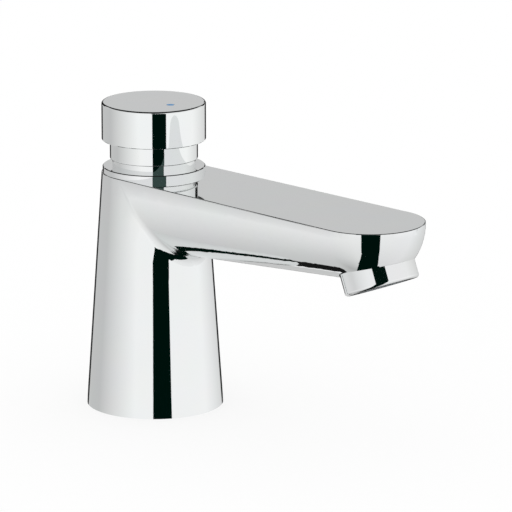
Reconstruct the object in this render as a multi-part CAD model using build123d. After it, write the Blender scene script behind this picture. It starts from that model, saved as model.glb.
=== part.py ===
from build123d import *
import math
import os

# A self-closing basin tap: pressing the cap opens the valve, and a timing chamber closes it again.
# Millimetres. The origin is on the body's axis at the face of the deck that the tap stands on.
# +X runs along the spout and +Z is up.

# Body casting, outside
base_radius = 26.7
body_top_radius = 20.3
body_height = 92.6
rim_round = 0.4

# Spout, outside
spout_reach = 116.3
spout_tip_radius = 20.9
spout_tip_depth = 22.25
spout_root_depth = 31.4
belly_share = 0.59
crease_round_share = 0.05

# Fits
thread_gap = 0.05
running_gap = 0.05
seating_gap = 0.1
free_gap = 0.3
overrun = 1.0

# Recess and gasket under the foot
foot_wall = 6.7
recess_roof = 10.0
recess_round_share = 0.287
column_wall = 2.5
column_inset = 1.0
base_gasket_width = 3.0
base_gasket_height = 2.0
base_gasket_inset = 2.3

# Retaining ring that holds the cartridge down
ring_flange_radius = 19.9
ring_flange_height = 2.3
ring_thread_radius = 16.5
ring_thread_length = 6.1
ring_bore_radius = 14.0
ring_edge = 0.3

# Guide sleeve that the cap slides on
neck_radius = 16.2
neck_height = 3.0
sleeve_radius = 17.05
sleeve_showing = 7.4
sleeve_wall = 2.85
sleeve_floor = 2.1
sleeve_spigot_length = 6.0
sleeve_edge = 0.5

# Push cap
cap_radius = 20.2
cap_height = 14.7
cap_roof = 3.5
cap_top_round = 0.8
cap_lip_edge = 0.25
cap_hub_radius = 6.5
cap_hub_height = 4.5
cap_hub_thread_depth = 5.5
press_travel = 6.0
roof_room = 1.5
tower_room = 1.0

# Colour dot let into the cap's top
dot_radius = 1.5
dot_depth = 0.8
dot_place = 9.4

# Spindle and its lock nut
spindle_radius = 3.0
lock_nut_flats = 10.0
lock_nut_height = 3.0

# Cartridge head
head_flange_radius = 16.2
head_flange_height = 2.5
head_collar_radius = 11.5
head_collar_height = 7.0
head_tower_radius = 7.0
head_spigot_height = 2.0
spindle_seal_thickness = 1.7
spindle_seal_depth = 6.0

# Cartridge housing
housing_length = 38.0
housing_wall = 2.3
housing_neck_radius = 13.0
housing_lower_land = 5.0
housing_upper_land = 6.0
cartridge_radius = 14.0
cartridge_seal_thickness = 1.8
window_count = 4
window_width = 8.0
window_height = 5.0
window_sill = 6.5
plate_ledge_height = 12.0
plate_ledge_width = 1.5

# Timing plate that closes the timing chamber below and carries the spring
plate_height = 4.0
stem_seal_thickness = 1.7
bleed_place = 5.4
bleed_pin_radius = 0.75
bleed_head_radius = 1.3
bleed_head_height = 0.8

# Piston and its one-way lip seal
piston_height = 5.0
piston_hub_radius = 5.0
piston_hub_height = 5.0
piston_web = 0.6
lip_seal_width = 1.9
lip_seal_height = 2.4
lip_seal_place = 1.3
lip_foot_share = 0.45

# Return spring
spring_wire_radius = 0.6
spring_mean_radius = 8.8
spring_turns = 5.5

# Valve at the foot of the cartridge
seat_height = 4.0
seat_hole_radius = 5.0
seat_nose_width = 1.2
seat_nose_height = 0.6
stem_radius = 2.0
stem_collar_radius = 3.5
stem_collar_height = 2.0
valve_washer_radius = 7.5
valve_washer_height = 2.0
carrier_radius = 7.0
carrier_height = 2.0
valve_nut_flats = 7.0
valve_nut_height = 2.4
stem_end = 0.5
valve_chamber_radius = 9.5
valve_chamber_room = 0.4
passage_radius = 7.5
passage_height = 8.5

# Waterways in the casting
gallery_radius = 17.0
waterway_half_width = 8.0
waterway_half_height = 5.0
waterway_floor = 6.0

# Inlet shank and what it carries: a half inch pipe thread
shank_radius = 10.48
shank_below_deck = 50.0
shank_bore_radius = 7.5
shank_end_chamfer = 1.0
supply_thread_length = 15.0
relief_width = 1.2
relief_depth = 1.0
shank_seal_height = 2.0
shank_seal_width = 2.2
limiter_radius = 8.5
limiter_height = 4.5
limiter_hole_radius = 2.5
strainer_flange_radius = 8.3
strainer_flange_height = 1.5
strainer_radius = 6.8
strainer_wall = 0.8
strainer_length = 13.0
strainer_slots = 8
strainer_slot_width = 1.6

# Fixing under the deck
deck_thickness = 20.0
soft_washer_radius = 22.0
soft_washer_height = 3.0
hard_washer_radius = 21.0
hard_washer_height = 2.0
backnut_flats = 32.0
backnut_height = 8.0
backnut_edge = 1.0

# Outlet with its aerator, on an axis that leans outwards
outlet_tilt = 22.4
outlet_offset = 7.0
outlet_drop = 1.65
shell_radius = 14.15
shell_height = 8.5
shell_thread_radius = 11.95
shell_thread_length = 5.5
shell_bore_radius = 10.6
shell_lip_radius = 9.8
shell_lip_height = 1.0
shell_round = 1.2
outlet_recess_gap = 0.25
aerator_gasket_height = 1.5
aerator_gasket_width = 1.3
outlet_thread_depth = 5.0
insert_wall = 1.2
insert_length = 10.0
grille_height = 1.6
grille_hole_flats = 2.9
grille_pitch = 3.6
grille_rings = 2
screen_height = 0.4
screen_count = 2
screen_spacing = 1.6
jet_plate_height = 1.4
jet_hole_radius = 0.9
jet_holes = 10
jet_place_share = 0.65

full_turn = 360
half_turn = 180

# Heights, worked from the body's top up to the cap and down to the inlet
ring_top_z = body_height + ring_flange_height
neck_top_z = ring_top_z + neck_height
cap_lip_z = neck_top_z + sleeve_showing
cap_top_z = cap_lip_z + cap_height
cap_ceiling_z = cap_top_z - cap_roof
sleeve_top_z = cap_ceiling_z - press_travel - roof_room
hub_foot_z = cap_ceiling_z - cap_hub_height
lock_nut_z = hub_foot_z - lock_nut_height
tower_top_z = lock_nut_z - press_travel - tower_room
head_flange_z = body_height - ring_thread_length
ledge_z = head_flange_z - head_flange_height
piston_top_z = ledge_z - head_spigot_height
piston_z = piston_top_z - piston_height
piston_hub_z = piston_z - piston_hub_height
housing_z = ledge_z - housing_length
plate_z = housing_z + plate_ledge_height
plate_top_z = plate_z + plate_height
cartridge_floor_z = housing_z - seat_height
seat_nose_z = cartridge_floor_z - seat_nose_height
valve_washer_z = seat_nose_z - valve_washer_height
carrier_z = valve_washer_z - carrier_height
valve_nut_z = carrier_z - valve_nut_height
stem_z = valve_nut_z - stem_end
valve_chamber_z = carrier_z - press_travel - valve_chamber_room
socket_top_z = valve_chamber_z - passage_height
shank_top_z = socket_top_z - shank_seal_height
recess_top_z = cartridge_floor_z - recess_roof
gallery_top_z = ledge_z - housing_upper_land
gallery_z = housing_z + housing_lower_land
upper_seal_z = ledge_z - housing_upper_land / 2
lower_seal_z = housing_z + housing_lower_land / 2
seat_seal_z = cartridge_floor_z + seat_height / 2
lip_seal_z = piston_z + lip_seal_place
soft_washer_z = -deck_thickness - soft_washer_height
hard_washer_z = soft_washer_z - hard_washer_height
backnut_z = hard_washer_z - backnut_height

# Radii that follow from a mating piece and its fit
cartridge_bore_radius = cartridge_radius + seating_gap
housing_bore_radius = cartridge_radius - housing_wall
ring_socket_radius = ring_thread_radius + thread_gap
sleeve_bore_radius = sleeve_radius - sleeve_wall
sleeve_spigot_radius = ring_bore_radius - seating_gap
collar_socket_radius = head_collar_radius + thread_gap
cap_bore_radius = sleeve_radius + free_gap
spindle_bore_radius = spindle_radius + running_gap
spindle_socket_radius = spindle_radius + thread_gap
stem_socket_radius = stem_radius + thread_gap
piston_radius = housing_bore_radius - free_gap
shank_socket_radius = shank_radius + thread_gap
column_radius = shank_socket_radius + column_wall
recess_radius = base_radius - foot_wall
base_gasket_radius = base_radius - base_gasket_inset
outlet_recess_radius = shell_radius + outlet_recess_gap
outlet_thread_radius = shell_thread_radius + thread_gap
outlet_recess_depth = shell_height + aerator_gasket_height
shell_top = shell_height + shell_thread_length
insert_radius = shell_bore_radius - seating_gap
insert_bore_radius = insert_radius - insert_wall


def turned(outline):
    """Spin a closed outline of (radius, height) points about the tap's axis."""
    points = [(radius, 0, height) for radius, height in outline]
    return revolve(make_face(Polyline(*points, close=True)), Axis.Z)


def post(radius, bottom, top):
    """A round post on the tap's axis between two heights."""
    return turned([(0, bottom), (radius, bottom), (radius, top), (0, top)])


def tube(inner_radius, outer_radius, bottom, top):
    """A round tube on the tap's axis between two heights."""
    return turned([(inner_radius, bottom), (outer_radius, bottom), (outer_radius, top), (inner_radius, top)])


def o_ring(inner_radius, thickness, height):
    """A round-section ring lying flat with its middle at the given height."""
    section_radius = thickness / 2
    return Pos(0, 0, height) * Torus(inner_radius + section_radius, section_radius)


def hexagon_nut(flats, socket_radius, bottom, height):
    """A hexagon nut with a plain round hole, its lower face at the given height."""
    blank = extrude(RegularPolygon(flats / 2, 6, major_radius=False), height)
    hole = Cylinder(socket_radius, height + 2 * overrun, align=(Align.CENTER, Align.CENTER, Align.MIN))
    return Pos(0, 0, bottom) * (blank - Pos(0, 0, -overrun) * hole)


def belly_curve(half_width, depth):
    """A quarter of the spout's belly, from its lowest point round to its upright side."""
    return Bezier(
        (0, -depth),
        (half_width * belly_share, -depth),
        (half_width, -depth * belly_share),
        (half_width, 0),
    )


def spout_section(half_width, depth, reach):
    """The spout's section at a reach from the axis: flat on top, a full round belly below."""
    side = belly_curve(half_width, depth)
    top = Line((half_width, 0), (-half_width, 0))
    section = make_face([side, top, mirror(side, Plane.YZ)])
    return Plane(origin=(reach, 0, body_height), x_dir=(0, 1, 0), z_dir=(1, 0, 0)) * section


def spout_tip():
    """The spout's round end: half its section turned half way round an upright axis."""
    side = belly_curve(spout_tip_radius, spout_tip_depth)
    half_section = make_face([side, Line((spout_tip_radius, 0), (0, 0)), Line((0, 0), (0, -spout_tip_depth))])
    upright = Plane(origin=(spout_reach, 0, body_height), x_dir=(1, 0, 0), z_dir=(0, -1, 0))
    tip_axis = Axis((spout_reach, 0, 0), (0, 0, 1))
    return revolve(upright * half_section, tip_axis, half_turn).rotate(tip_axis, -half_turn / 2)


def casting_outside():
    """Tapered column and spout under one flat top, blended where they meet."""
    column = Solid.make_cone(base_radius, body_top_radius, body_height)
    root = spout_section(body_top_radius, spout_root_depth, 0)
    end = spout_section(spout_tip_radius, spout_tip_depth, spout_reach)
    body = column + loft([root, end], ruled=True) + spout_tip()
    crease = [edge for edge in body.edges() if on_crease(edge.center())]
    body = fillet(crease, body_height * crease_round_share)
    top = body.faces().sort_by(Axis.Z)[-1]
    return fillet(top.edges(), rim_round)


def on_crease(point):
    """Tell whether a point lies where the spout's round side runs into the column."""
    below_top = point.Z < body_height - rim_round
    above_spout = point.Z > body_height - spout_root_depth
    return below_top and above_spout and 0 < point.X < base_radius


def outlet_plane(depth):
    """A plane square to the outlet's leaning axis, at a depth up from the aerator's rim, facing up."""
    tilt = math.radians(outlet_tilt)
    upward = Vector(-math.sin(tilt), 0, math.cos(tilt))
    rim = Vector(spout_reach + outlet_offset, 0, body_height - spout_tip_depth - outlet_drop)
    return Plane(origin=rim + upward * depth, x_dir=(0, 1, 0), z_dir=upward)


def on_outlet(piece):
    """Move a piece that was made upright on the origin onto the outlet's axis."""
    return outlet_plane(0) * piece


def waterway():
    """The sloping channel that leads from the gallery round the cartridge to the outlet."""
    start = Vector(cartridge_bore_radius, 0, gallery_top_z - waterway_half_height)
    end_z = body_height - spout_tip_depth + waterway_floor + waterway_half_height
    end = Vector(outlet_plane(outlet_recess_depth + outlet_thread_depth).origin.X, 0, end_z)
    run = end - start
    square_to_run = Plane(origin=start, x_dir=(0, 1, 0), z_dir=run)
    return extrude(square_to_run * Ellipse(waterway_half_width, waterway_half_height), run.length)


def foot_recess():
    """The ring-shaped recess that cores out the foot round the inlet column."""
    core = tube(column_radius, recess_radius, -overrun, recess_top_z)
    roof_edges = core.edges().filter_by(GeomType.CIRCLE).group_by(Axis.Z)[-1]
    roof_round = (recess_radius - column_radius) * recess_round_share
    return fillet(roof_edges, roof_round) + post(column_radius + overrun / 2, -overrun, column_inset)


def body_casting():
    """The chromed body: foot, column and spout in one casting, with its bores and waterways."""
    inside = post(ring_socket_radius, ledge_z, body_height + overrun)
    inside += post(cartridge_bore_radius, cartridge_floor_z, ledge_z)
    inside += post(gallery_radius, gallery_z, gallery_top_z)
    inside += post(valve_chamber_radius, valve_chamber_z, cartridge_floor_z)
    inside += post(passage_radius, socket_top_z, valve_chamber_z)
    inside += post(shank_socket_radius, -overrun, socket_top_z)
    inside += waterway()
    outlet_recess = Cylinder(outlet_recess_radius, outlet_recess_depth + shell_radius)
    inside += outlet_plane((outlet_recess_depth - shell_radius) / 2) * outlet_recess
    outlet_thread = Cylinder(outlet_thread_radius, outlet_thread_depth)
    inside += outlet_plane(outlet_recess_depth + outlet_thread_depth / 2) * outlet_thread
    gasket_groove = tube(
        base_gasket_radius - base_gasket_width - seating_gap,
        base_gasket_radius + seating_gap,
        -overrun,
        base_gasket_height,
    )
    return casting_outside() - inside - foot_recess() - gasket_groove


def retaining_ring():
    """Flanged ring screwed into the body's mouth, holding the cartridge on its ledge."""
    return turned([
        (ring_bore_radius, head_flange_z),
        (ring_thread_radius, head_flange_z),
        (ring_thread_radius, body_height),
        (ring_flange_radius, body_height),
        (ring_flange_radius, ring_top_z - ring_edge),
        (ring_flange_radius - ring_edge, ring_top_z),
        (ring_bore_radius, ring_top_z),
    ])


def guide_sleeve():
    """Sleeve screwed on the cartridge head: a short neck, then the barrel that guides the cap."""
    return turned([
        (collar_socket_radius, ring_top_z - sleeve_spigot_length),
        (sleeve_spigot_radius, ring_top_z - sleeve_spigot_length),
        (sleeve_spigot_radius, ring_top_z),
        (neck_radius, ring_top_z),
        (neck_radius, neck_top_z),
        (sleeve_radius, neck_top_z),
        (sleeve_radius, sleeve_top_z - sleeve_edge),
        (sleeve_radius - sleeve_edge, sleeve_top_z),
        (sleeve_bore_radius, sleeve_top_z),
        (sleeve_bore_radius, ring_top_z + sleeve_floor),
        (collar_socket_radius, ring_top_z + sleeve_floor),
    ])


def push_cap():
    """The round cap that is pressed: a deep shell with a threaded hub and a seat for the dot."""
    shell = turned([
        (0, cap_ceiling_z),
        (cap_bore_radius, cap_ceiling_z),
        (cap_bore_radius, cap_lip_z + cap_lip_edge),
        (cap_bore_radius + cap_lip_edge, cap_lip_z),
        (cap_radius - cap_lip_edge, cap_lip_z),
        (cap_radius, cap_lip_z + cap_lip_edge),
        (cap_radius, cap_top_z),
        (0, cap_top_z),
    ])
    top_edge = shell.edges().filter_by(GeomType.CIRCLE).group_by(Axis.Z)[-1]
    shell = fillet(top_edge, cap_top_round) + post(cap_hub_radius, hub_foot_z, cap_ceiling_z)
    shell -= post(spindle_socket_radius, hub_foot_z - overrun, hub_foot_z + cap_hub_thread_depth)
    dot_seat = Cylinder(dot_radius + thread_gap, dot_depth, align=(Align.CENTER, Align.CENTER, Align.MAX))
    return shell - Pos(dot_place, 0, cap_top_z) * dot_seat


def colour_dot():
    """Small disc that marks the supply's temperature, flush in the cap's top."""
    disc = Cylinder(dot_radius, dot_depth, align=(Align.CENTER, Align.CENTER, Align.MAX))
    return Pos(dot_place, 0, cap_top_z) * disc


def spindle():
    """Rod that carries the cap's push down to the piston."""
    tip_z = hub_foot_z + cap_hub_thread_depth - seating_gap
    return post(spindle_radius, piston_z + piston_web, tip_z)


def cap_lock_nut():
    """Nut that locks the cap's hub on the spindle."""
    return hexagon_nut(lock_nut_flats, spindle_socket_radius, lock_nut_z, lock_nut_height)


def cartridge_head():
    """Cover of the cartridge: spigot, clamped flange, threaded collar and the spindle's guide tower."""
    head = turned([
        (spindle_bore_radius, piston_top_z),
        (housing_bore_radius - seating_gap, piston_top_z),
        (housing_bore_radius - seating_gap, ledge_z),
        (head_flange_radius, ledge_z),
        (head_flange_radius, head_flange_z),
        (head_collar_radius, head_flange_z),
        (head_collar_radius, head_flange_z + head_collar_height),
        (head_tower_radius, head_flange_z + head_collar_height),
        (head_tower_radius, tower_top_z),
        (spindle_bore_radius, tower_top_z),
    ])
    groove_top = tower_top_z - spindle_seal_depth
    groove_radius = spindle_bore_radius + spindle_seal_thickness + seating_gap
    groove_foot = groove_top - spindle_seal_thickness - 2 * seating_gap
    return head - tube(spindle_radius, groove_radius, groove_foot, groove_top)


def spindle_seal():
    """Rubber ring in the head's groove, round the spindle."""
    middle = tower_top_z - spindle_seal_depth - seating_gap - spindle_seal_thickness / 2
    return o_ring(spindle_radius + seating_gap, spindle_seal_thickness, middle)


def seal_groove(middle):
    """Ring cut from a cartridge piece's outside, which holds one of its rubber rings."""
    half_height = cartridge_seal_thickness / 2 + seating_gap
    floor_radius = cartridge_radius - cartridge_seal_thickness
    return tube(floor_radius, cartridge_radius + overrun, middle - half_height, middle + half_height)


def cartridge_seals():
    """Rubber rings that seal the cartridge in the body's bore: two on the housing, one on the seat."""
    inner_radius = cartridge_radius - cartridge_seal_thickness + running_gap
    heights = (upper_seal_z, lower_seal_z, seat_seal_z)
    return Compound(children=[o_ring(inner_radius, cartridge_seal_thickness, z) for z in heights])


def cartridge_housing():
    """Barrel of the cartridge: piston bore above, ledge for the timing plate, windows below."""
    barrel = turned([
        (housing_bore_radius - plate_ledge_width, housing_z),
        (cartridge_radius, housing_z),
        (cartridge_radius, gallery_z),
        (housing_neck_radius, gallery_z),
        (housing_neck_radius, gallery_top_z),
        (cartridge_radius, gallery_top_z),
        (cartridge_radius, ledge_z),
        (housing_bore_radius, ledge_z),
        (housing_bore_radius, plate_z),
        (housing_bore_radius - plate_ledge_width, plate_z),
    ])
    barrel -= seal_groove(upper_seal_z) + seal_groove(lower_seal_z)
    window_length = cartridge_radius + overrun
    for turn in range(window_count):
        window = Pos(window_length / 2, 0, housing_z + window_sill) * Box(
            window_length, window_width, window_height, align=(Align.CENTER, Align.CENTER, Align.MIN)
        )
        barrel -= Rot(0, 0, turn * full_turn / window_count) * window
    return barrel


def timing_plate():
    """Plate under the timing chamber: the stem runs through its middle, the bleed through its side."""
    plate = tube(stem_radius + running_gap, housing_bore_radius - seating_gap, plate_z, plate_top_z)
    middle = plate_z + plate_height / 2
    half_height = stem_seal_thickness / 2 + seating_gap
    groove_radius = stem_radius + stem_seal_thickness + 2 * seating_gap
    plate -= tube(stem_radius, groove_radius, middle - half_height, middle + half_height)
    bleed = Cylinder(bleed_pin_radius + seating_gap, plate_height + 2 * overrun)
    return plate - Pos(0, bleed_place, middle) * bleed


def timing_pin():
    """Pin that all but fills the bleed hole, so that the chamber fills slowly."""
    pin = post(bleed_pin_radius, plate_z, plate_top_z)
    head = post(bleed_head_radius, plate_top_z, plate_top_z + bleed_head_height)
    return Pos(0, bleed_place, 0) * (pin + head)


def stem_seal():
    """Rubber ring in the timing plate, round the stem."""
    return o_ring(stem_radius + seating_gap, stem_seal_thickness, plate_z + plate_height / 2)


def piston():
    """Piston of the timing chamber, with a groove for its seal and a hub for spindle and stem."""
    groove_radius = piston_radius - lip_seal_width
    groove_foot = lip_seal_z - seating_gap
    groove_top = lip_seal_z + lip_seal_height + seating_gap
    blank = turned([
        (0, piston_hub_z),
        (piston_hub_radius, piston_hub_z),
        (piston_hub_radius, piston_z),
        (piston_radius, piston_z),
        (piston_radius, groove_foot),
        (groove_radius, groove_foot),
        (groove_radius, groove_top),
        (piston_radius, groove_top),
        (piston_radius, piston_top_z),
        (0, piston_top_z),
    ])
    blank -= post(spindle_socket_radius, piston_z + piston_web, piston_top_z + overrun)
    return blank - post(stem_socket_radius, piston_hub_z - overrun, piston_z)


def piston_lip_seal():
    """Cup seal that lets water past when the piston goes down and holds it back when it rises."""
    inner_radius = piston_radius - lip_seal_width + seating_gap
    outer_radius = housing_bore_radius - seating_gap
    top = lip_seal_z + lip_seal_height
    heel = inner_radius + (outer_radius - inner_radius) * lip_foot_share
    return turned([(inner_radius, lip_seal_z), (heel, lip_seal_z), (outer_radius, top), (inner_radius, top)])


def valve_stem():
    """Rod from the piston down through the plate and the seat, with a collar above the washer."""
    rod = post(stem_radius, stem_z, piston_z - seating_gap)
    return rod + post(stem_collar_radius, seat_nose_z, seat_nose_z + stem_collar_height)


def valve_washer():
    """Rubber washer that closes the seat from below."""
    return tube(stem_socket_radius, valve_washer_radius, valve_washer_z, seat_nose_z)


def valve_carrier():
    """Metal disc that backs the washer."""
    return tube(stem_socket_radius, carrier_radius, carrier_z, valve_washer_z)


def valve_nut():
    """Nut that clamps the carrier and washer against the stem's collar."""
    return hexagon_nut(valve_nut_flats, stem_socket_radius, valve_nut_z, valve_nut_height)


def valve_seat():
    """Seat disc under the housing, with the raised nose that the washer shuts against."""
    disc = turned([
        (seat_hole_radius, seat_nose_z),
        (seat_hole_radius + seat_nose_width, seat_nose_z),
        (seat_hole_radius + seat_nose_width, cartridge_floor_z),
        (cartridge_radius, cartridge_floor_z),
        (cartridge_radius, housing_z),
        (seat_hole_radius, housing_z),
    ])
    return disc - seal_groove(seat_seal_z)


def return_spring():
    """Coil spring between the timing plate and the piston, with its end turns ground flat."""
    room = piston_z - plate_top_z
    coil_path = Helix(room / spring_turns, room, spring_mean_radius, center=(0, 0, plate_top_z))
    section = Plane(origin=coil_path @ 0, z_dir=coil_path % 0) * Circle(spring_wire_radius)
    coil = sweep(section, coil_path, is_frenet=True)
    slab = post(spring_mean_radius + 2 * spring_wire_radius, plate_top_z, piston_z)
    return coil & slab


def inlet_shank():
    """Threaded inlet tube screwed into the body's column and hanging through the deck."""
    shank = tube(shank_bore_radius, shank_radius, -shank_below_deck, shank_top_z)
    outer_foot = shank.edges().filter_by(GeomType.CIRCLE).group_by(Axis.Z)[0].sort_by(SortBy.RADIUS)[-1]
    shank = chamfer(outer_foot, shank_end_chamfer)
    relief_z = supply_thread_length - shank_below_deck
    shank -= tube(shank_radius - relief_depth, shank_radius + overrun, relief_z, relief_z + relief_width)
    shank -= post(limiter_radius + seating_gap, shank_top_z - limiter_height, shank_top_z + overrun)
    flange_seat_z = strainer_flange_height - shank_below_deck
    return shank - post(strainer_flange_radius + seating_gap, -shank_below_deck - overrun, flange_seat_z)


def shank_seal():
    """Flat ring between the shank's end and the floor of its socket."""
    return tube(shank_radius - shank_seal_width, shank_radius, shank_top_z, socket_top_z)


def flow_limiter():
    """Disc with a small hole in the shank's upper end, which holds the flow down."""
    return tube(limiter_hole_radius, limiter_radius, shank_top_z - limiter_height, shank_top_z)


def inlet_strainer():
    """Slotted basket in the shank's lower end, with a flange that seats in the bore's step."""
    foot = -shank_below_deck
    top = foot + strainer_length
    basket = turned([
        (strainer_radius - strainer_wall, foot),
        (strainer_flange_radius, foot),
        (strainer_flange_radius, foot + strainer_flange_height),
        (strainer_radius, foot + strainer_flange_height),
        (strainer_radius, top),
        (0, top),
        (0, top - strainer_wall),
        (strainer_radius - strainer_wall, top - strainer_wall),
    ])
    slot_foot = foot + 2 * strainer_flange_height
    slot_height = strainer_length - 2 * strainer_flange_height - 2 * strainer_wall
    for turn in range(strainer_slots):
        slot = Pos(strainer_radius / 2, 0, slot_foot) * Box(
            strainer_radius + overrun, strainer_slot_width, slot_height,
            align=(Align.MIN, Align.CENTER, Align.MIN),
        )
        basket -= Rot(0, 0, turn * full_turn / strainer_slots) * slot
    return basket


def base_gasket():
    """Flat rubber ring in the foot's groove, which seals the tap on the deck."""
    return tube(base_gasket_radius - base_gasket_width, base_gasket_radius, 0, base_gasket_height)


def deck_washer_rubber():
    """Soft washer against the deck's underside."""
    bore = shank_radius + free_gap
    return tube(bore, soft_washer_radius, soft_washer_z, -deck_thickness)


def deck_washer_steel():
    """Steel washer that spreads the nut's load."""
    bore = shank_radius + free_gap
    return tube(bore, hard_washer_radius, hard_washer_z, soft_washer_z)


def backnut():
    """Hexagon nut that pulls the tap down on the deck, with its corners turned off below."""
    nut = hexagon_nut(backnut_flats, shank_socket_radius, backnut_z, backnut_height)
    corner_radius = backnut_flats / math.sqrt(3)
    turned_blank = turned([
        (0, backnut_z),
        (corner_radius - backnut_edge, backnut_z),
        (corner_radius, backnut_z + backnut_edge),
        (corner_radius, hard_washer_z),
        (0, hard_washer_z),
    ])
    return nut & turned_blank


def aerator_shell():
    """Chromed barrel screwed into the spout, with an inner lip below that holds the insert."""
    shell = turned([
        (shell_lip_radius, 0),
        (shell_radius, 0),
        (shell_radius, shell_height),
        (shell_thread_radius, shell_height),
        (shell_thread_radius, shell_top),
        (shell_bore_radius, shell_top),
        (shell_bore_radius, shell_lip_height),
        (shell_lip_radius, shell_lip_height),
    ])
    outer_foot = shell.edges().filter_by(GeomType.CIRCLE).group_by(Axis.Z)[0].sort_by(SortBy.RADIUS)[-1]
    return on_outlet(fillet(outer_foot, shell_round))


def aerator_gasket():
    """Rubber ring between the aerator's shoulder and the spout."""
    inner_radius = shell_thread_radius + seating_gap
    outer_radius = inner_radius + aerator_gasket_width
    return on_outlet(tube(inner_radius, outer_radius, shell_height, outlet_recess_depth))


def honeycomb_places():
    """Centres of a hexagonal group of holes, with the given number of rings round the middle one."""
    places = []
    for column in range(-grille_rings, grille_rings + 1):
        for row in range(-grille_rings, grille_rings + 1):
            if abs(column + row) <= grille_rings:
                across = grille_pitch * (column + row / 2)
                along = grille_pitch * row * math.sqrt(3) / 2
                places.append((across, along))
    return places


def aerator_insert():
    """Plastic insert: an open barrel with a honeycomb outlet grille."""
    foot = shell_lip_height
    barrel = tube(insert_bore_radius, insert_radius, foot, foot + insert_length)
    grille = post(insert_bore_radius, foot, foot + grille_height)
    cell = extrude(RegularPolygon(grille_hole_flats / 2, 6, major_radius=False), grille_height + 2 * overrun)
    cells = [Pos(across, along, foot - overrun) * cell for across, along in honeycomb_places()]
    return on_outlet(barrel + (grille - cells))


def aerator_screens():
    """Round mesh screens stacked in the insert."""
    screens = []
    foot = shell_lip_height + grille_height
    for number in range(screen_count):
        level = foot + number * screen_spacing
        screens.append(post(insert_bore_radius - seating_gap, level, level + screen_height))
    return Compound(children=[on_outlet(screen) for screen in screens])


def aerator_jet_plate():
    """Plate at the insert's top whose ring of holes breaks the water into jets."""
    top = shell_lip_height + insert_length
    plate = post(insert_bore_radius - seating_gap, top - jet_plate_height, top)
    hole = post(jet_hole_radius, top - jet_plate_height - overrun, top + overrun)
    place = insert_bore_radius * jet_place_share
    for turn in range(jet_holes):
        plate -= Rot(0, 0, turn * full_turn / jet_holes) * Pos(place, 0, 0) * hole
    return on_outlet(plate)


pieces = {
    "body_casting": body_casting,
    "base_gasket": base_gasket,
    "retaining_ring": retaining_ring,
    "guide_sleeve": guide_sleeve,
    "push_cap": push_cap,
    "colour_dot": colour_dot,
    "cap_lock_nut": cap_lock_nut,
    "spindle": spindle,
    "cartridge_head": cartridge_head,
    "spindle_seal": spindle_seal,
    "cartridge_housing": cartridge_housing,
    "cartridge_seals": cartridge_seals,
    "piston": piston,
    "piston_lip_seal": piston_lip_seal,
    "return_spring": return_spring,
    "timing_plate": timing_plate,
    "timing_pin": timing_pin,
    "stem_seal": stem_seal,
    "valve_seat": valve_seat,
    "valve_stem": valve_stem,
    "valve_washer": valve_washer,
    "valve_carrier": valve_carrier,
    "valve_nut": valve_nut,
    "inlet_shank": inlet_shank,
    "shank_seal": shank_seal,
    "flow_limiter": flow_limiter,
    "inlet_strainer": inlet_strainer,
    "deck_washer_rubber": deck_washer_rubber,
    "deck_washer_steel": deck_washer_steel,
    "backnut": backnut,
    "aerator_shell": aerator_shell,
    "aerator_gasket": aerator_gasket,
    "aerator_insert": aerator_insert,
    "aerator_screens": aerator_screens,
    "aerator_jet_plate": aerator_jet_plate,
}

os.makedirs("parts", exist_ok=True)
for name, make_piece in pieces.items():
    export_step(make_piece(), f"parts/{name}.step")
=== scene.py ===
"""Looks of a chrome self-closing basin tap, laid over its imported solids.

Metres, in the solids' own frame: the origin is on the body's axis in the deck's plane, +X runs along the
spout and +Z is up.
"""
import logging
import math
from dataclasses import dataclass
from enum import Enum
from typing import Any

import bmesh
import bpy
from mathutils import Matrix, Vector


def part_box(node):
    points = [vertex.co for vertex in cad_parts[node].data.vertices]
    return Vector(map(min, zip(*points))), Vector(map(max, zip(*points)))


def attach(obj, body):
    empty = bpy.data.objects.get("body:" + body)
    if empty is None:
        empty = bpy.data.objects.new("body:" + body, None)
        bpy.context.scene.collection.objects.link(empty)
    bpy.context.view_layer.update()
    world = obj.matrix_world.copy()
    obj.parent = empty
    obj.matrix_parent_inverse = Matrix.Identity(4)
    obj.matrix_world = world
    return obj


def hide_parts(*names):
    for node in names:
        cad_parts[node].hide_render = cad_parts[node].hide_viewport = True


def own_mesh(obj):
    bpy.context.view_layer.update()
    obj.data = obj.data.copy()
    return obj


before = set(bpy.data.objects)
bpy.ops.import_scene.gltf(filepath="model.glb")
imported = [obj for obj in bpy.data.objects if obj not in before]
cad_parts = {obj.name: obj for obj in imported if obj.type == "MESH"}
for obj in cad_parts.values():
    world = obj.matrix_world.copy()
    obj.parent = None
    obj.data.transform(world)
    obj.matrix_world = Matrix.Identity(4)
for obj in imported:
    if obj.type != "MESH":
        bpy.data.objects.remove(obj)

LOG = logging.getLogger("tap")
MM = 0.001
WAVE_PERIOD = 0.314  # metres between the bands of a wave texture whose scale is 1
FULL_TURN = 360.0
HALF_TURN = 180.0
AXIS = (0.0, 0.0, 1.0)
CENTRE = (0.0, 0.0, 0.0)
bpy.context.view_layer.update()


def linear(hex_colour: str) -> tuple[float, float, float, float]:
    """Turn an sRGB hex colour into a linear one.

    Args:
        hex_colour: six hex digits.

    Returns:
        Red, green, blue and an alpha of 1.
    """
    parts = [int(hex_colour[i:i + 2], 16) / 255 for i in (0, 2, 4)]
    red, green, blue = (c / 12.92 if c <= 0.04045 else ((c + 0.055) / 1.055) ** 2.4 for c in parts)
    return red, green, blue, 1.0


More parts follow.
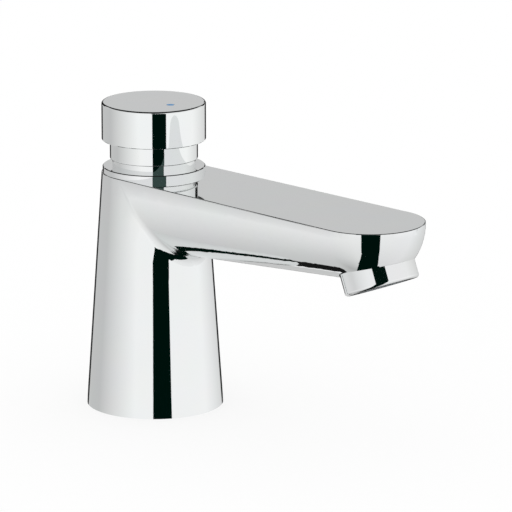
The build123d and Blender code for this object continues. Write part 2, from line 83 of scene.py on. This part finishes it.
def add_node(tree: bpy.types.NodeTree, kind: str, settings: dict[str, Any] | None = None,
             inputs: dict[str | int, Any] | None = None) -> bpy.types.Node:
    """Add a node with its settings and links.

    Args:
        tree: the tree that the node joins.
        kind: Blender's name for the type of node.
        settings: attributes to set, by name.
        inputs: what each input takes, by name or number: a socket to link from, or a value.

    Returns:
        The new node.
    """
    node = tree.nodes.new(kind)
    for name, value in (settings or {}).items():
        setattr(node, name, value)
    for name, value in (inputs or {}).items():
        if isinstance(value, bpy.types.NodeSocket):
            tree.links.new(value, node.inputs[name])
        else:
            node.inputs[name].default_value = value
    return node


def blank_material(name: str) -> bpy.types.Material:
    """Make a material with an empty node tree.

    Args:
        name: the material's name.

    Returns:
        The material.
    """
    made = bpy.data.materials.new(name)
    made.use_nodes = True
    made.node_tree.nodes.clear()
    return made


def make_object(name: str, shape: bmesh.types.BMesh) -> bpy.types.Object:
    """Turn a shape into an object of the scene.

    Args:
        name: the object's name.
        shape: its mesh, which is freed.

    Returns:
        The object.
    """
    mesh = bpy.data.meshes.new(name)
    shape.to_mesh(mesh)
    shape.free()
    made = bpy.data.objects.new(name, mesh)
    bpy.context.scene.collection.objects.link(made)
    return made


@dataclass(frozen=True)
class Finish:
    """A surface finish that makes its own material once, under its label."""

    label: str

    def shade(self, tree: bpy.types.NodeTree, shader: bpy.types.Node, place: bpy.types.NodeSocket) -> None:
        """Set the shader's sockets and join the nodes that drive them.

        Args:
            tree: the material's tree.
            shader: the shader to set.
            place: where the shaded point lies on the tap.
        """
        raise NotImplementedError

    def material(self) -> bpy.types.Material:
        """Make the material, or give it again if it is made already.

        Returns:
            The material, with this finish's node tree.
        """
        found = bpy.data.materials.get(self.label)
        if found:
            return found
        made = blank_material(self.label)
        tree = made.node_tree
        place = add_node(tree, "ShaderNodeTexCoord").outputs["Object"]
        shader = add_node(tree, "ShaderNodeBsdfPrincipled")
        self.shade(tree, shader, place)
        add_node(tree, "ShaderNodeOutputMaterial", {}, {"Surface": shader.outputs["BSDF"]})
        return made


@dataclass(frozen=True)
class ChromePlate(Finish):
    """Bright chrome on polished metal.

    It mirrors the studio with crisp edges; the polisher's wheel leaves faint waves and a haze that varies
    over about a centimetre.
    """

    label: str = "chrome_plate"
    colour: str = "EDEFEF"
    haze: float = 0.025
    haze_spread: float = 0.02
    wave_mm: float = 9.0
    wave_depth_mm: float = 0.0008
    cloud_mm: float = 14.0
    cloud_detail: float = 3.0
    cloud_low: float = 0.3
    cloud_high: float = 0.7
    tint_share: float = 0.04

    def shade(self, tree: bpy.types.NodeTree, shader: bpy.types.Node, place: bpy.types.NodeSocket) -> None:
        """Set the mirror's colour, a roughness that varies with the haze, and the wheel's waves as a bump.

        Args:
            tree: the material's tree.
            shader: the shader to set.
            place: where the shaded point lies on the tap.
        """
        cloud = add_node(tree, "ShaderNodeTexNoise", {}, {
            "Vector": place, "Scale": 1 / (self.cloud_mm * MM), "Detail": self.cloud_detail,
        })
        rough = add_node(tree, "ShaderNodeMapRange", {}, {
            "Value": cloud.outputs["Fac"], "From Min": self.cloud_low, "From Max": self.cloud_high,
            "To Min": self.haze, "To Max": self.haze + self.haze_spread,
        })
        tint = add_node(tree, "ShaderNodeMixRGB", {"blend_type": "MULTIPLY"}, {
            "Fac": self.tint_share, "Color1": linear(self.colour), "Color2": cloud.outputs["Color"],
        })
        waves = add_node(tree, "ShaderNodeTexNoise", {}, {
            "Vector": place, "Scale": 1 / (self.wave_mm * MM), "Detail": 1.0,
        })
        bump = add_node(tree, "ShaderNodeBump", {}, {
            "Height": waves.outputs["Fac"], "Distance": self.wave_depth_mm * MM, "Strength": 1.0,
        })
        shader.inputs["Metallic"].default_value = 1.0
        tree.links.new(tint.outputs["Color"], shader.inputs["Base Color"])
        tree.links.new(rough.outputs["Result"], shader.inputs["Roughness"])
        tree.links.new(bump.outputs["Normal"], shader.inputs["Normal"])


@dataclass(frozen=True)
class TurnedMetal(Finish):
    """Bare metal from the lathe: fine rings round the axis that a cutting tip leaves."""

    label: str = "turned_brass"
    colour: str = "D2AE62"
    dull_colour: str = "B08A48"
    roughness: float = 0.22
    ring_mm: float = 0.35
    ring_depth_mm: float = 0.01
    ring_strength: float = 0.6
    ring_waver: float = 0.4
    patch_mm: float = 6.0
    patch_detail: float = 4.0
    roughness_spread: float = 0.15

    def shade(self, tree: bpy.types.NodeTree, shader: bpy.types.Node, place: bpy.types.NodeSocket) -> None:
        """Set the metal's colour with dull patches, and the tool's rings along the axis as a bump.

        Args:
            tree: the material's tree.
            shader: the shader to set.
            place: where the shaded point lies on the tap.
        """
        patch = add_node(tree, "ShaderNodeTexNoise", {}, {
            "Vector": place, "Scale": 1 / (self.patch_mm * MM), "Detail": self.patch_detail,
        })
        tint = add_node(tree, "ShaderNodeMixRGB", {}, {
            "Fac": patch.outputs["Fac"], "Color1": linear(self.colour), "Color2": linear(self.dull_colour),
        })
        rings = add_node(tree, "ShaderNodeTexWave", {"wave_type": "BANDS", "bands_direction": "Z"}, {
            "Vector": place, "Scale": WAVE_PERIOD / (self.ring_mm * MM), "Distortion": self.ring_waver,
            "Detail": 1.0,
        })
        bump = add_node(tree, "ShaderNodeBump", {}, {
            "Height": rings.outputs["Fac"], "Distance": self.ring_depth_mm * MM,
            "Strength": self.ring_strength,
        })
        rough = add_node(tree, "ShaderNodeMapRange", {}, {
            "Value": patch.outputs["Fac"], "To Min": self.roughness,
            "To Max": self.roughness + self.roughness_spread,
        })
        shader.inputs["Metallic"].default_value = 1.0
        tree.links.new(tint.outputs["Color"], shader.inputs["Base Color"])
        tree.links.new(rough.outputs["Result"], shader.inputs["Roughness"])
        tree.links.new(bump.outputs["Normal"], shader.inputs["Normal"])


@dataclass(frozen=True)
class MouldedPart(Finish):
    """Moulded plastic or rubber: an even colour with faint flow marks and a fine mould grain."""

    label: str = "white_acetal"
    colour: str = "E9E8E2"
    shade_colour: str = "D8D6CD"
    roughness: float = 0.38
    ior: float = 1.48
    grain_mm: float = 0.25
    grain_depth_mm: float = 0.01
    grain_strength: float = 0.5
    flow_mm: float = 5.0
    detail: float = 2.0

    def shade(self, tree: bpy.types.NodeTree, shader: bpy.types.Node, place: bpy.types.NodeSocket) -> None:
        """Set the plastic's colour with its flow marks, and the mould's grain as a bump.

        Args:
            tree: the material's tree.
            shader: the shader to set.
            place: where the shaded point lies on the tap.
        """
        flow = add_node(tree, "ShaderNodeTexNoise", {}, {
            "Vector": place, "Scale": 1 / (self.flow_mm * MM), "Detail": self.detail,
        })
        tint = add_node(tree, "ShaderNodeMixRGB", {}, {
            "Fac": flow.outputs["Fac"], "Color1": linear(self.colour), "Color2": linear(self.shade_colour),
        })
        grain = add_node(tree, "ShaderNodeTexNoise", {}, {
            "Vector": place, "Scale": 1 / (self.grain_mm * MM), "Detail": self.detail,
        })
        bump = add_node(tree, "ShaderNodeBump", {}, {
            "Height": grain.outputs["Fac"], "Distance": self.grain_depth_mm * MM,
            "Strength": self.grain_strength,
        })
        shader.inputs["Roughness"].default_value = self.roughness
        shader.inputs["IOR"].default_value = self.ior
        tree.links.new(tint.outputs["Color"], shader.inputs["Base Color"])
        tree.links.new(bump.outputs["Normal"], shader.inputs["Normal"])


class Stock(Enum):
    """The finishes that the tap's pieces come in."""

    # Chrome over a hand-polished casting: a clear mirror whose edges wander a little where the wheel pressed.
    CAST_CHROME = ChromePlate("chrome_on_casting")
    # Chrome over turned brass: the same mirror, straighter, because the lathe left a truer face.
    TURNED_CHROME = ChromePlate("chrome_on_turned_brass", wave_mm=12.0, wave_depth_mm=0.0004)
    # Bare brass from the lathe: yellow, with fine rings that break its shine into lines.
    BRASS = TurnedMetal()
    # Stainless wire and rod, drawn: a cool grey with fine streaks.
    STEEL = TurnedMetal("drawn_stainless_steel", "B9B9B4", "A3A39E", 0.24, 0.4, 0.006)
    # Steel with a zinc coat: paler and duller, with a faint yellow cast in places.
    ZINC = TurnedMetal("zinc_plated_steel", "BFC2C6", "A9A99C", 0.3, 0.6, 0.01)
    # Moulded nitrile rubber: nearly black and matt, with the mould's fine grain.
    RUBBER = MouldedPart("nitrile_rubber", "1B1B1B", "242423", 0.62, 1.52, 0.2, 0.015)
    # Moulded white acetal: warm white with a satin shine.
    WHITE_ACETAL = MouldedPart()
    # Moulded grey acetal: the same satin shine on a cool grey.
    GREY_ACETAL = MouldedPart("grey_acetal", "8E9496", "7F8587", 0.4, 1.48, 0.25, 0.01)
    # Moulded blue insert: smooth and glossy, the mark of cold or mixed water.
    BLUE_INSERT = MouldedPart("blue_insert", "2E8CC8", "2A82BC", 0.22, 1.5, 0.4, 0.004)


@dataclass
class SubAssembly:
    """Some of the tap's solids that belong together, each with its finish.

    The deck hides what lies under it from the chrome above.
    """

    title: str
    nodes: dict[str, Stock]
    under_deck: bool = False

    def dress(self) -> None:
        """Give each of the solids its finish."""
        for name, stock in self.nodes.items():
            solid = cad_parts[name]
            solid.data.materials.clear()
            solid.data.materials.append(stock.value.material())
            solid.visible_glossy = not self.under_deck
            LOG.info("%s: %s in %s", self.title, name, stock.value.label)


@dataclass
class MadePiece:
    """A piece that is meshed here and stands for a plainer solid."""

    name: str
    node: str
    slot: str
    stock: Stock
    body: str = "tap"
    sharp_deg: float = 40.0

    def shape(self) -> bmesh.types.BMesh:
        """Make the piece's mesh."""
        raise NotImplementedError

    def ends(self) -> tuple[float, float]:
        """Give the lowest and highest point of the solid that the piece stands for."""
        foot, top = (corner[2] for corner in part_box(self.node))
        return foot, top

    def close(self, shape: bmesh.types.BMesh) -> None:
        """Close a mesh's holes, point its faces outwards and mark its sharp edges.

        Args:
            shape: the mesh.
        """
        rims = [edge for edge in shape.edges if edge.is_boundary]
        if rims:
            bmesh.ops.holes_fill(shape, edges=rims, sides=0)
        bmesh.ops.recalc_face_normals(shape, faces=shape.faces)
        for face in shape.faces:
            face.smooth = True
        for edge in shape.edges:
            edge.smooth = edge.calc_face_angle(math.pi) < math.radians(self.sharp_deg)

    def build(self) -> bpy.types.Object:
        """Make the piece, dress it and put it on its body in the solid's stead.

        Returns:
            The piece.
        """
        shape = self.shape()
        self.close(shape)
        made = make_object(self.name, shape)
        made.data.materials.append(self.stock.value.material())
        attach(made, self.body)
        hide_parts(self.node)
        LOG.info("%s: %d faces in %s", self.name, len(made.data.polygons), self.stock.value.label)
        return made


@dataclass
class CapSleeve(MadePiece):
    """The sleeve that the cap slides on, with the small round that the lathe leaves on its lower rim."""

    collar_radius: float = 11.55 * MM
    spigot_radius: float = 13.9 * MM
    neck_radius: float = 16.2 * MM
    neck_height: float = 3.0 * MM
    radius: float = 17.05 * MM
    bore_radius: float = 14.2 * MM
    floor_height: float = 2.1 * MM
    top_edge: float = 0.5 * MM
    rim_round: float = 0.25 * MM
    rim_land: float = 0.15 * MM
    rim_segments: int = 3
    steps: int = 160
    merge_gap: float = 0.001 * MM
    near: float = 0.01 * MM

    def shape(self) -> bmesh.types.BMesh:
        """Spin the sleeve's outline round the tap's axis and round its lower rim.

        Returns:
            The sleeve's mesh.
        """
        foot, top = self.ends()
        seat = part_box("retaining_ring")[1][2]
        rim = seat + self.neck_height
        land = self.rim_round + self.rim_land
        outline = [
            (self.collar_radius, foot), (self.spigot_radius, foot), (self.spigot_radius, seat),
            (self.neck_radius, seat), (self.neck_radius, rim), (self.radius - land, rim), (self.radius, rim),
            (self.radius, rim + land), (self.radius, top - self.top_edge), (self.radius - self.top_edge, top),
            (self.bore_radius, top), (self.bore_radius, seat + self.floor_height),
            (self.collar_radius, seat + self.floor_height),
        ]
        made = bmesh.new()
        corners = [made.verts.new((radius, 0.0, height)) for radius, height in outline]
        sides = [made.edges.new(pair) for pair in zip(corners, corners[1:] + corners[:1])]
        bmesh.ops.spin(made, geom=corners + sides, cent=CENTRE, axis=AXIS, angle=math.tau, steps=self.steps,
                       use_merge=True)
        bmesh.ops.remove_doubles(made, verts=made.verts, dist=self.merge_gap)
        lip = [edge for edge in made.edges if all(
            abs(end.co.z - rim) < self.near and abs(end.co.xy.length - self.radius) < self.near
            for end in edge.verts)]
        bmesh.ops.bevel(made, geom=lip, offset=self.rim_round, offset_type="OFFSET",
                        segments=self.rim_segments, profile=0.5, affect="EDGES", material=-1)
        return made


@dataclass
class ReturnCoil(MadePiece):
    """The return spring: drawn wire in a coil whose end turns lie close and are ground flat.

    The real spring shortens with the cap, since the piston rides down on its upper end.
    """

    wire_radius: float = 0.6 * MM
    mean_radius: float = 8.8 * MM
    free_turns: float = 3.5
    travel: float = 6.0 * MM
    joint: str = "cap_push"
    wire_sides: int = 12
    steps_a_turn: int = 40
    cut_reach: float = 1e-7

    def shape(self) -> bmesh.types.BMesh:
        """Sweep the wire's round section up through a close turn, the free turns and a close turn.

        Both ends are then ground flat.

        Returns:
            The coil's mesh.
        """
        foot, top = self.ends()
        close_rise = 2.0 * self.wire_radius
        free_rise = top - foot - 2.0 * close_rise
        made = bmesh.new()
        bmesh.ops.create_circle(made, segments=self.wire_sides, radius=self.wire_radius)
        bmesh.ops.rotate(made, verts=made.verts, cent=CENTRE, matrix=Matrix.Rotation(math.pi / 2, 3, "X"))
        bmesh.ops.translate(made, verts=made.verts, vec=(self.mean_radius, 0.0, foot))
        section = list(made.verts) + list(made.edges)
        for turns, rise in ((1.0, close_rise), (self.free_turns, free_rise), (1.0, close_rise)):
            steps = round(turns * self.steps_a_turn)
            section = bmesh.ops.spin(made, geom=section, cent=CENTRE, axis=AXIS, angle=math.tau * turns,
                                     dvec=(0.0, 0.0, rise / steps), steps=steps)["geom_last"]
        for height, up in ((foot, -1.0), (top, 1.0)):
            bmesh.ops.bisect_plane(made, geom=[*made.verts, *made.edges, *made.faces], dist=self.cut_reach,
                                   plane_co=(0.0, 0.0, height), plane_no=(0.0, 0.0, up), clear_outer=True)
            bmesh.ops.holes_fill(made, edges=[edge for edge in made.edges if edge.is_boundary], sides=0)
        return made

    def build(self) -> bpy.types.Object:
        """Make the coil and give it a mesh of its own.

        Returns:
            The coil.
        """
        made = super().build()
        foot, top = self.ends()
        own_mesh(made)
        return made


@dataclass
class Camera:
    """The photograph's camera, which stands to the right of the spout's side and looks a little down."""

    turn_deg: float = 46.9
    distance: float = 1.7019
    height: float = 0.4859
    yaw_deg: float = 1.33
    pitch_deg: float = 14.105
    lens_mm: float = 316.9
    sensor_mm: float = 36.0
    clip_near: float = 0.05
    clip_far: float = 40.0

    def right(self) -> Vector:
        """Give the picture's right in the row frame."""
        turn = math.radians(self.turn_deg)
        return Vector((math.cos(turn), math.sin(turn), 0.0))

    def towards(self) -> Vector:
        """Give the level direction from the tap to the camera."""
        turn = math.radians(self.turn_deg)
        return Vector((math.sin(turn), -math.cos(turn), 0.0))

    def build(self) -> bpy.types.Object:
        """Make the camera and set it as the scene's.

        Returns:
            The camera object.
        """
        yaw, pitch = math.radians(self.yaw_deg), math.radians(self.pitch_deg)
        level = self.right() * math.sin(yaw) - self.towards() * math.cos(yaw)
        look = level * math.cos(pitch) - Vector((0.0, 0.0, math.sin(pitch)))
        data = bpy.data.cameras.new("camera")
        data.lens, data.sensor_width = self.lens_mm, self.sensor_mm
        data.clip_start, data.clip_end = self.clip_near, self.clip_far
        made = bpy.data.objects.new("camera", data)
        bpy.context.scene.collection.objects.link(made)
        made.location = self.towards() * self.distance + Vector((0.0, 0.0, self.height))
        made.rotation_euler = look.to_track_quat("-Z", "Y").to_euler()
        bpy.context.scene.camera = made
        return made


@dataclass(frozen=True)
class Card:
    """An evenly toned card in the studio, seen only in the chrome.

    Bearings run from the camera's direction, positive to the picture's right; heights are angles over the
    horizon.
    """

    left_deg: float
    right_deg: float
    low_deg: float
    high_deg: float
    level: float
    soft_deg: float = 1.0

    def lay(self, tree: bpy.types.NodeTree, under: bpy.types.NodeSocket, bearing: bpy.types.NodeSocket,
            height: bpy.types.NodeSocket) -> bpy.types.NodeSocket:
        """Lay the card over the levels behind it.

        Args:
            tree: the world's tree.
            under: the levels behind the card.
            bearing: the direction's bearing in degrees.
            height: the direction's height in degrees.

        Returns:
            The levels with the card in front.
        """
        cover = None
        spans = (bearing, self.left_deg, self.right_deg), (height, self.low_deg, self.high_deg)
        for value, start, end in spans:
            for limit, fade in ((start, self.soft_deg / 2), (end, -self.soft_deg / 2)):
                edge = add_node(tree, "ShaderNodeMapRange", {}, {
                    "Value": value, "From Min": limit - fade, "From Max": limit + fade,
                }).outputs["Result"]
                if cover is None:
                    cover = edge
                else:
                    both = add_node(tree, "ShaderNodeMath", {"operation": "MULTIPLY"}, {0: cover, 1: edge})
                    cover = both.outputs[0]
        mixed = add_node(tree, "ShaderNodeMixRGB", {}, {
            "Fac": cover, "Color1": under, "Color2": (self.level, self.level, self.level, 1.0),
        })
        return mixed.outputs["Color"]


@dataclass(frozen=True)
class Wall:
    """The room's tone at one height: dim behind the tap, lit from the front and the right."""

    height_deg: float
    left: float
    front: float
    behind: float = 0.6
    left_deg: float = -110.0
    lit_from_deg: float = -35.0
    lit_to_deg: float = 95.0

    def stops(self) -> list[tuple[float, float]]:
        """Give the tones with their bearings, from behind round by the left."""
        return [(-HALF_TURN, self.behind), (self.left_deg, self.left), (self.lit_from_deg, self.front),
                (self.lit_to_deg, self.front), (HALF_TURN, self.behind)]

    def paint(self, tree: bpy.types.NodeTree, share: bpy.types.NodeSocket) -> bpy.types.NodeSocket:
        """Paint the wall's tones round the room.

        Args:
            tree: the world's tree.
            share: the direction's bearing as a share of the full turn, from behind round by the left.

        Returns:
            The tone that lies in each direction.
        """
        node = add_node(tree, "ShaderNodeValToRGB", {}, {"Fac": share})
        elements = node.color_ramp.elements
        places = [((bearing + HALF_TURN) / FULL_TURN, tone) for bearing, tone in self.stops()]
        for place, _ in places[2:]:
            elements.new(place)
        for element, (place, tone) in zip(elements, places):
            element.position = place
            element.color = (tone, tone, tone, 1.0)
        return node.outputs["Color"]


@dataclass(frozen=True)
class Pane:
    """An upright pane round the tap, seen only in the chrome, with bearings as a card has them."""

    name: str
    left_deg: float
    right_deg: float
    low: float
    high: float
    colour: str
    radius: float = 0.38
    flare_deg: float = 0.0


@dataclass
class Studio:
    """Plain white floor and soft light, and the toned walls and cards that the chrome mirrors."""

    camera: Camera
    floor_radius: float = 8.0
    floor_segments: int = 128
    floor_glow: float = 0.8
    floor_colour: str = "FFFFFF"
    pane_steps: int = 24
    runner_height: float = -0.22
    runner_far: tuple[float, float, float] = (-0.036, 0.194, 0.384)
    runner_near: tuple[float, float, float] = (0.007, 0.104, -0.02)
    dark_colour: str = "00120D"

    def add(self, name: str, shape: bmesh.types.BMesh) -> bpy.types.Object:
        """Turn a shape into an object of the stage.

        Args:
            name: the object's name.
            shape: its mesh, which is freed.

        Returns:
            The object.
        """
        made = make_object(name, shape)
        return made

    def floor(self) -> None:
        """Lay the white floor, which the camera sees as pure white but for the tap's soft shadow."""
        shape = bmesh.new()
        bmesh.ops.create_circle(shape, cap_ends=True, segments=self.floor_segments, radius=self.floor_radius)
        made = self.add("floor", shape)
        material = blank_material("white_sweep")
        tree = material.node_tree
        path = add_node(tree, "ShaderNodeLightPath")
        paper = add_node(tree, "ShaderNodeBsdfDiffuse", {}, {"Color": linear(self.floor_colour)})
        glow = add_node(tree, "ShaderNodeEmission", {}, {"Color": (1.0, 1.0, 1.0, 1.0), "Strength": 1.0})
        share = add_node(tree, "ShaderNodeMath", {"operation": "MULTIPLY"}, {
            0: path.outputs["Is Camera Ray"], 1: self.floor_glow,
        })
        mixed = add_node(tree, "ShaderNodeMixShader", {}, {
            0: share.outputs[0], 1: paper.outputs[0], 2: glow.outputs[0],
        })
        add_node(tree, "ShaderNodeOutputMaterial", {}, {"Surface": mixed.outputs[0]})
        made.data.materials.append(material)
        made.visible_glossy = False

    def show_chrome_only(self, made: bpy.types.Object, colour: str) -> None:
        """Make an object of the stage glow evenly and show it to the chrome alone.

        Args:
            made: the object.
            colour: what it shows, as a hex colour.
        """
        made.visible_camera = False
        made.visible_diffuse = False
        made.visible_shadow = False
        made.visible_transmission = False
        material = blank_material(made.name)
        tree = material.node_tree
        glow = add_node(tree, "ShaderNodeEmission", {}, {"Color": linear(colour), "Strength": 1.0})
        add_node(tree, "ShaderNodeOutputMaterial", {}, {"Surface": glow.outputs[0]})
        made.data.materials.append(material)

    def stand(self, pane: Pane) -> None:
        """Stand up an upright pane that is curved about the tap's axis and may flare towards its foot.

        Args:
            pane: the pane's sizes and colour.
        """
        shape = bmesh.new()
        middle = (pane.left_deg + pane.right_deg) / 2
        turn = math.radians(self.camera.turn_deg - 90.0 + middle)
        span = math.radians(pane.right_deg - pane.left_deg)
        ends = [shape.verts.new((pane.radius, 0.0, height)) for height in (pane.low, pane.high)]
        edge = shape.edges.new(ends)
        bmesh.ops.rotate(shape, verts=ends, cent=CENTRE, matrix=Matrix.Rotation(-span / 2, 3, "Z"))
        bmesh.ops.spin(shape, geom=ends + [edge], cent=CENTRE, axis=AXIS, angle=span, steps=self.pane_steps)
        for corner in shape.verts:
            if corner.co.z < (pane.low + pane.high) / 2:
                share = math.atan2(corner.co.y, corner.co.x) / (span / 2)
                corner.co.rotate(Matrix.Rotation(math.radians(pane.flare_deg) * share, 3, "Z"))
        bmesh.ops.rotate(shape, verts=shape.verts, cent=CENTRE, matrix=Matrix.Rotation(turn, 3, "Z"))
        self.show_chrome_only(self.add(pane.name, shape), pane.colour)

    def runner(self) -> None:
        """Lay the dark strip that runs along the ground from the dark pane's foot in under the tap."""
        shape = bmesh.new()
        bmesh.ops.create_grid(shape, x_segments=1, y_segments=1, size=1.0)
        for corner in shape.verts:
            far = corner.co.y < 0.0
            sides = self.runner_far if far else self.runner_near
            corner.co = Vector((sides[corner.co.x > 0.0], -sides[2], self.runner_height))
        turn = math.radians(self.camera.turn_deg)
        bmesh.ops.rotate(shape, verts=shape.verts, cent=CENTRE, matrix=Matrix.Rotation(turn, 3, "Z"))
        self.show_chrome_only(self.add("dark_runner", shape), self.dark_colour)

    def panes(self) -> list[Pane]:
        """List the panes: a black window with a dim one above it, and dark screens behind the tap.

        Returns:
            The panes with their sizes and colours.
        """
        return [
            Pane("dark_pane", -3.5, 26.5, -0.05, 0.2, self.dark_colour),
            Pane("dark_pane_foot", -3.5, 26.5, self.runner_height, -0.045, self.dark_colour, flare_deg=2.6),
            Pane("dim_pane", -2.9, 25.8, 0.133, 0.2, "3C4E4A", radius=0.25),
            Pane("back_screen", 150.0, 210.0, -0.1, 0.168, "303030"),
            Pane("left_screen", -170.0, -135.0, 0.185, 0.33, "101010"),
            Pane("right_screen", 135.0, 160.0, 0.185, 0.33, "101010"),
        ]

    def walls(self) -> list[Wall]:
        """List the room's tones from the ground up.

        Returns:
            The ground at the tap's foot, the ground further out, the walls and what is over them.
        """
        return [
            Wall(-66.0, left=0.5, front=0.8),
            Wall(-22.0, left=0.9, front=0.95),
            Wall(-13.0, left=0.6, front=1.05),
            Wall(13.0, left=0.65, front=0.95),
        ]

    def cards(self) -> list[Card]:
        """List the cards that hang before the walls.

        Returns:
            The cards, in the order in which they cover each other.
        """
        return [
            Card(-190.0, 190.0, 27.0, 95.0, 0.012, 3.0),
            Card(150.0, 190.0, -95.0, -35.0, 0.012, 3.0),
            Card(138.0, 190.0, 2.5, 10.5, 0.012),
            Card(-190.0, -138.0, 2.5, 10.5, 0.012),
            Card(168.0, 190.0, 10.5, 60.0, 0.62),
            Card(-190.0, -168.0, 10.5, 60.0, 0.62),
            Card(-159.5, -141.0, -54.0, -43.0, 0.01),
            Card(-163.0, -159.5, -54.0, -43.0, 0.95),
            Card(-88.0, 41.0, -95.0, -75.0, 0.012, 3.0),
            Card(-50.0, 36.0, -80.0, -67.0, 0.012, 3.0),
        ]

    def sky(self) -> None:
        """Set the world: white to the camera, the toned walls and cards to the chrome."""
        world = bpy.data.worlds.new("studio")
        bpy.context.scene.world = world
        world.use_nodes = True
        tree = world.node_tree
        tree.nodes.clear()
        place = add_node(tree, "ShaderNodeTexCoord").outputs["Generated"]
        across = add_node(tree, "ShaderNodeVectorMath", {"operation": "DOT_PRODUCT"}, {
            0: place, 1: self.camera.right(),
        })
        near = add_node(tree, "ShaderNodeVectorMath", {"operation": "DOT_PRODUCT"}, {
            0: place, 1: self.camera.towards(),
        })
        turn = add_node(tree, "ShaderNodeMath", {"operation": "ARCTAN2"}, {
            0: across.outputs["Value"], 1: near.outputs["Value"],
        })
        bearing = add_node(tree, "ShaderNodeMath", {"operation": "DEGREES"}, {0: turn.outputs[0]}).outputs[0]
        share = add_node(tree, "ShaderNodeMapRange", {}, {
            "Value": bearing, "From Min": -HALF_TURN, "From Max": HALF_TURN,
        })
        rise = add_node(tree, "ShaderNodeSeparateXYZ", {}, {0: place}).outputs["Z"]
        slope = add_node(tree, "ShaderNodeMath", {"operation": "ARCSINE"}, {0: rise})
        height = add_node(tree, "ShaderNodeMath", {"operation": "DEGREES"}, {0: slope.outputs[0]}).outputs[0]
        levels = None
        for below, wall in zip([None, *self.walls()], self.walls()):
            ring = wall.paint(tree, share.outputs["Result"])
            if below is None:
                levels = ring
                continue
            blend = add_node(tree, "ShaderNodeMapRange", {}, {
                "Value": height, "From Min": below.height_deg, "From Max": wall.height_deg,
            })
            levels = add_node(tree, "ShaderNodeMixRGB", {}, {
                "Fac": blend.outputs["Result"], "Color1": levels, "Color2": ring,
            }).outputs["Color"]
        for card in self.cards():
            levels = card.lay(tree, levels, bearing, height)
        path = add_node(tree, "ShaderNodeLightPath")
        colour = add_node(tree, "ShaderNodeMixRGB", {}, {
            "Fac": path.outputs["Is Glossy Ray"], "Color1": (1.0, 1.0, 1.0, 1.0), "Color2": levels,
        })
        back = add_node(tree, "ShaderNodeBackground", {}, {"Color": colour.outputs["Color"], "Strength": 1.0})
        add_node(tree, "ShaderNodeOutputWorld", {}, {"Surface": back.outputs[0]})

    def build(self) -> None:
        """Make the floor, the panes, the strip and the world."""
        self.floor()
        for pane in self.panes():
            self.stand(pane)
        self.runner()
        self.sky()


def tap_parts() -> list[SubAssembly]:
    """List the tap's sub-assemblies.

    Returns:
        Each with its solids and their finishes.
    """
    return [
        SubAssembly("body", {
            "body_casting": Stock.CAST_CHROME, "base_gasket": Stock.RUBBER,
            "retaining_ring": Stock.TURNED_CHROME,
        }),
        SubAssembly("cap", {
            "push_cap": Stock.TURNED_CHROME, "colour_dot": Stock.BLUE_INSERT, "cap_lock_nut": Stock.BRASS,
            "spindle": Stock.STEEL,
        }),
        SubAssembly("cartridge", {
            "cartridge_head": Stock.BRASS, "spindle_seal": Stock.RUBBER, "cartridge_housing": Stock.BRASS,
            "cartridge_seals": Stock.RUBBER, "piston": Stock.WHITE_ACETAL, "piston_lip_seal": Stock.RUBBER,
            "timing_plate": Stock.WHITE_ACETAL, "timing_pin": Stock.STEEL,
            "stem_seal": Stock.RUBBER, "valve_seat": Stock.BRASS, "valve_stem": Stock.STEEL,
            "valve_washer": Stock.RUBBER, "valve_carrier": Stock.BRASS, "valve_nut": Stock.BRASS,
        }),
        SubAssembly("inlet", {
            "inlet_shank": Stock.BRASS, "shank_seal": Stock.RUBBER, "flow_limiter": Stock.GREY_ACETAL,
            "inlet_strainer": Stock.WHITE_ACETAL,
        }, under_deck=True),
        SubAssembly("fixing", {
            "deck_washer_rubber": Stock.RUBBER, "deck_washer_steel": Stock.ZINC, "backnut": Stock.BRASS,
        }, under_deck=True),
        SubAssembly("aerator", {
            "aerator_shell": Stock.TURNED_CHROME, "aerator_gasket": Stock.RUBBER,
            "aerator_insert": Stock.GREY_ACETAL, "aerator_screens": Stock.STEEL,
            "aerator_jet_plate": Stock.WHITE_ACETAL,
        }),
    ]


def made_pieces() -> list[MadePiece]:
    """List the pieces that are meshed here.

    Returns:
        Each piece with its place, slot and finish.
    """
    return [
        CapSleeve("cap_sleeve", "guide_sleeve", "chrome_turned", Stock.TURNED_CHROME),
        ReturnCoil("return_coil", "return_spring", "steel", Stock.STEEL),
    ]


def main() -> None:
    """Dress the tap and set the studio."""
    logging.basicConfig(level=logging.INFO, format="%(message)s")
    bpy.context.scene.view_settings.view_transform = "Standard"
    camera = Camera()
    camera.build()
    Studio(camera).build()
    for part in tap_parts():
        part.dress()
    for piece in made_pieces():
        piece.build()


if __name__ == "__main__":
    main()
